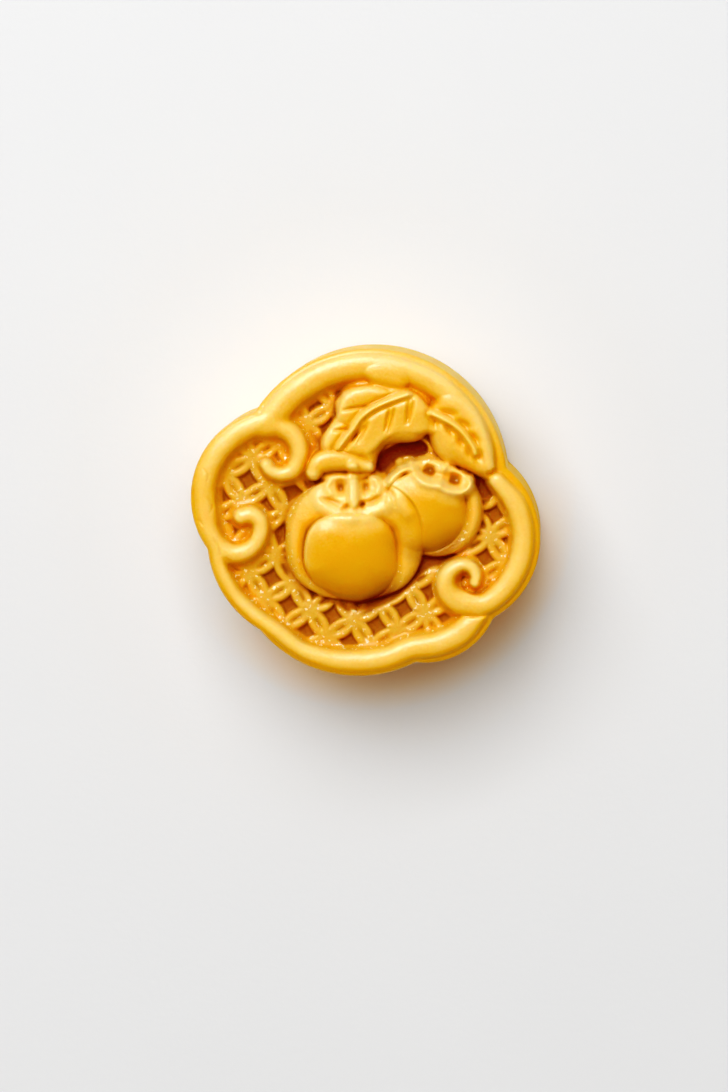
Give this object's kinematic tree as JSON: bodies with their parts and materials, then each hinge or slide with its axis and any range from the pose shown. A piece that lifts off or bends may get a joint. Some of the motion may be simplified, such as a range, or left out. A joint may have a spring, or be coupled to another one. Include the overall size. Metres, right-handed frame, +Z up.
{
  "type": "mooncake",
  "caption": "Press-moulded mooncake with a cloud outline, a scrolled rim, a pierced coin-pattern floor, persimmons, leaves and a twig in relief.",
  "frame": {"origin": "middle of the flat base that the cake rests on", "axes": "+Z up through the moulded face, +Y towards the leaves, +X to the right as seen from above"},
  "size_m": [0.0508, 0.0476, 0.0265],
  "materials": {
    "dough": "smooth pale golden dough with a faint oily sheen and a fine grain"
  },
  "bodies": {
    "root": {"mooncake": "dough"}
  },
  "joints": []
}
